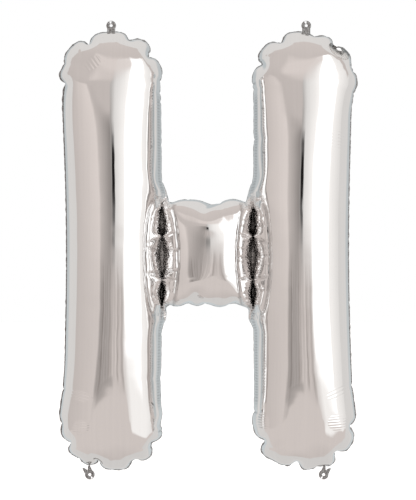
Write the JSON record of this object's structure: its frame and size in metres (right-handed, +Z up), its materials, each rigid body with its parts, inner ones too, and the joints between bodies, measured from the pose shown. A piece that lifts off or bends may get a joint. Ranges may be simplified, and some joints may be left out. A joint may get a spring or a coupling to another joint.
{
  "type": "inflated letter H foil balloon",
  "caption": "Inflated silver foil balloon in the shape of the letter H, with a welded outline seam, junction welds, eyelet tabs and an inflation valve.",
  "frame": {"origin": "middle of the balloon, on the plane of the outline seam, halfway up the letter and halfway between the uprights; also the air_hold mount", "axes": "+Z up along the uprights, +X to the right as the letter is read from the front, the front of the letter faces -Y"},
  "size_m": [0.5698, 0.18, 0.8965],
  "materials": {
    "silver_foil": "mirror-bright metallised film with fine creases",
    "welded_foil": "heat-sealed metallised film, a little duller than the panels",
    "valve_film": "clear glossy film over foil"
  },
  "bodies": {
    "root": {"front_foil_panel": "silver_foil", "back_foil_panel": "silver_foil", "perimeter_seam": "welded_foil", "left_junction_weld_upper": "welded_foil", "left_junction_weld_middle": "welded_foil", "left_junction_weld_lower": "welded_foil", "right_junction_weld_upper": "welded_foil", "right_junction_weld_middle": "welded_foil", "right_junction_weld_lower": "welded_foil", "upper_left_hanging_tab": "welded_foil", "upper_right_hanging_tab": "welded_foil", "lower_left_hanging_tab": "welded_foil", "lower_right_hanging_tab": "welded_foil", "inflation_valve": "valve_film"}
  },
  "joints": []
}
